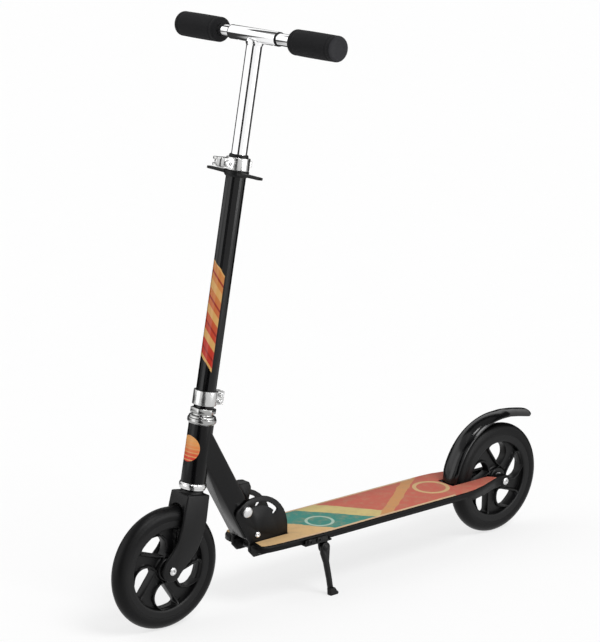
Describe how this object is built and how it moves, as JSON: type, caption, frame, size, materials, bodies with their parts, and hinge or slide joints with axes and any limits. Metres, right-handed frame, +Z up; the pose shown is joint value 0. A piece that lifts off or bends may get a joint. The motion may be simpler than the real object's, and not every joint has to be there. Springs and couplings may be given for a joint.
{
  "type": "folding kick scooter",
  "caption": "Folding kick scooter with a height-adjustable T handlebar, foam grips, flat deck with printed grip tape, rear fender brake and side stand.",
  "frame": {"origin": "on the floor under the middle of the bounding box, the scooter leaning 3 degrees on its stand", "axes": "+X forward, towards the front wheel; +Y the rider's left, the stand's side; +Z up"},
  "size_m": [0.936, 0.3772, 0.9566],
  "materials": {
    "black_paint": "satin powder coat",
    "black_plastic": "moulded",
    "fender_gloss": "glossy",
    "tyre": "matt",
    "foot_rubber": "matt",
    "foam": "closed-cell foam",
    "chrome": "polished",
    "brushed_aluminium": "brushed",
    "steel": "zinc plated",
    "dark_steel": "blackened",
    "tape": "printed grit"
  },
  "bodies": {
    "deck": {"deck_frame": "black_paint", "grip_tape": "tape", "fold_cheek_left": "black_paint", "fold_cheek_right": "black_paint", "fold_pivot_bolt": "steel", "fold_pivot_nut": "steel", "cheek_rivet_rear": "dark_steel", "cheek_rivet_front": "dark_steel", "kickstand_bracket": "black_paint", "kickstand_screw_rear": "steel", "kickstand_screw_front": "steel", "kickstand_pivot_rivet": "steel", "fender_hinge_pin": "steel", "fender_spring": "steel", "rear_axle": "steel", "rear_axle_nut": "steel"},
    "rear_wheel": {"rear_tyre": "tyre", "rear_wheel_core": "black_plastic", "rear_wheel_bearing_left": "steel", "rear_wheel_bearing_right": "steel"},
    "kickstand": {"kickstand_leg": "black_paint", "kickstand_foot": "foot_rubber"},
    "fender": {"fender_brake": "fender_gloss"},
    "neck": {"neck_frame": "black_paint", "fold_pivot_bush": "brushed_aluminium", "lower_headset_cup": "brushed_aluminium", "upper_headset_cup": "brushed_aluminium", "lower_headset_bearing": "steel", "upper_headset_bearing": "steel", "lock_spring": "steel"},
    "fold_lock": {"lock_pin": "steel", "lock_pin_nut": "steel", "release_lever": "black_plastic"},
    "fork": {"fork": "black_paint", "front_axle": "steel", "front_axle_nut": "steel", "headset_adjusting_nut": "brushed_aluminium", "headset_lock_nut": "steel", "steering_column": "black_paint", "lower_collar": "brushed_aluminium", "collar_bolt_lower": "dark_steel", "collar_bolt_upper": "dark_steel", "top_clamp": "brushed_aluminium", "clamp_skewer": "steel", "clamp_skewer_nut": "steel", "grip_clip_ring": "black_plastic", "tube_bushing": "black_plastic"},
    "clamp_lever": {"quick_release_lever": "brushed_aluminium"},
    "front_wheel": {"front_tyre": "tyre", "front_wheel_core": "black_plastic", "front_wheel_bearing_left": "steel", "front_wheel_bearing_right": "steel"},
    "t_bar": {"handlebar_stem": "chrome"},
    "left_bar": {"left_handlebar": "chrome", "left_grip": "foam"},
    "right_bar": {"right_handlebar": "chrome", "right_grip": "foam"},
    "left_button": {"left_snap_button": "steel"},
    "right_button": {"right_snap_button": "steel"}
  },
  "joints": [
    {"name": "fold", "type": "hinge", "parent": "deck", "child": "neck", "pos_m": [0.198, -0.04761, 0.12383], "axis": [0, -0.9986, 0.0523], "range_deg": [0, 78]},
    {"name": "fold_lock", "type": "slide", "parent": "neck", "child": "fold_lock", "axis": [0.4939, 0.0455, 0.8683], "range_m": [-0.0055, 0], "stiffness_N_per_m": 400, "springref_m": -0.012, "deforming": ["lock_spring"]},
    {"name": "steering", "type": "hinge", "parent": "neck", "child": "fork", "pos_m": [0.33407, -0.04916, 0.09418], "axis": [-0.1653, 0.0516, 0.9849], "range_deg": [-90, 90]},
    {"name": "front_wheel_spin", "type": "hinge", "parent": "fork", "child": "front_wheel", "pos_m": [0.368, -0.04886, 0.09986], "axis": [0, 0.9986, -0.0523], "continuous": true},
    {"name": "rear_wheel_spin", "type": "hinge", "parent": "deck", "child": "rear_wheel", "pos_m": [-0.368, -0.04886, 0.09986], "axis": [0, 0.9986, -0.0523], "continuous": true},
    {"name": "fender_brake", "type": "hinge", "parent": "deck", "child": "fender", "pos_m": [-0.256, -0.04855, 0.10586], "axis": [0, -0.9986, 0.0523], "range_deg": [0, 6], "stiffness_Nm_per_rad": 4, "springref_deg": -8.59},
    {"name": "kickstand", "type": "hinge", "parent": "deck", "child": "kickstand", "pos_m": [0.08, 0.01029, 0.08214], "axis": [0, 0.9968, 0.0802], "range_deg": [0, 84]},
    {"name": "handlebar_height", "type": "slide", "parent": "fork", "child": "t_bar", "axis": [-0.1653, 0.0516, 0.9849], "range_m": [-0.14, 0]},
    {"name": "clamp_lever", "type": "hinge", "parent": "fork", "child": "clamp_lever", "pos_m": [0.25374, -0.03211, 0.73673], "axis": [-0.1653, 0.0516, 0.9849], "range_deg": [0, 125]},
    {"name": "left_bar_pull", "type": "slide", "parent": "t_bar", "child": "left_bar", "axis": [0, 0.9986, -0.0523], "range_m": [0, 0.05]},
    {"name": "right_bar_pull", "type": "slide", "parent": "t_bar", "child": "right_bar", "axis": [0, -0.9986, 0.0523], "range_m": [0, 0.05]},
    {"name": "left_snap_button", "type": "slide", "parent": "left_bar", "child": "left_button", "axis": [0.1653, -0.0516, -0.9849], "range_m": [0, 0.0023], "stiffness_N_per_m": 1500, "springref_m": 0.005},
    {"name": "right_snap_button", "type": "slide", "parent": "right_bar", "child": "right_button", "axis": [0.1653, -0.0516, -0.9849], "range_m": [0, 0.0023], "stiffness_N_per_m": 1500, "springref_m": 0.005}
  ]
}
